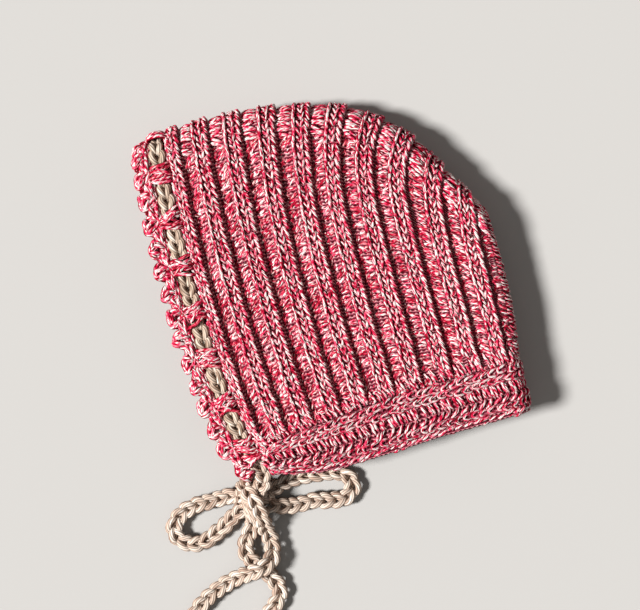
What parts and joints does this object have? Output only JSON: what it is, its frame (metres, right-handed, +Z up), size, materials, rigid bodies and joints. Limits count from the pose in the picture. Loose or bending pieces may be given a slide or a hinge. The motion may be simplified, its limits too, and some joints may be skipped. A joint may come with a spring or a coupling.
{
  "type": "crocheted baby bonnet",
  "caption": "Ribbed crocheted baby bonnet folded flat on its side, with a picot face edging and a drawstring tied in a bow.",
  "frame": {"origin": "on the surface it lies on, under the middle of the folded bonnet's own box, without the bow and the free ends", "axes": "+Z up through the two layers, +X from the face edge to the closed back, +Y from the neck edge to the fold over the crown"},
  "size_m": [0.2048, 0.2588, 0.026],
  "materials": {
    "heathered_yarn": "soft plied yarn, pink, crimson and cream twisted together",
    "cord_yarn": "matte sand-coloured cotton, chain stitched"
  },
  "bodies": {
    "root": {"ribbed_crown": "heathered_yarn", "neck_band": "heathered_yarn", "eyelet_band": "heathered_yarn", "picot_edging": "heathered_yarn", "drawstring": "cord_yarn", "bow_knot": "cord_yarn", "bow_loop_left": "cord_yarn", "bow_loop_right": "cord_yarn", "tie_tail_left": "cord_yarn", "tie_tail_right": "cord_yarn", "tail_knot_left": "cord_yarn", "tail_knot_right": "cord_yarn"}
  },
  "joints": []
}
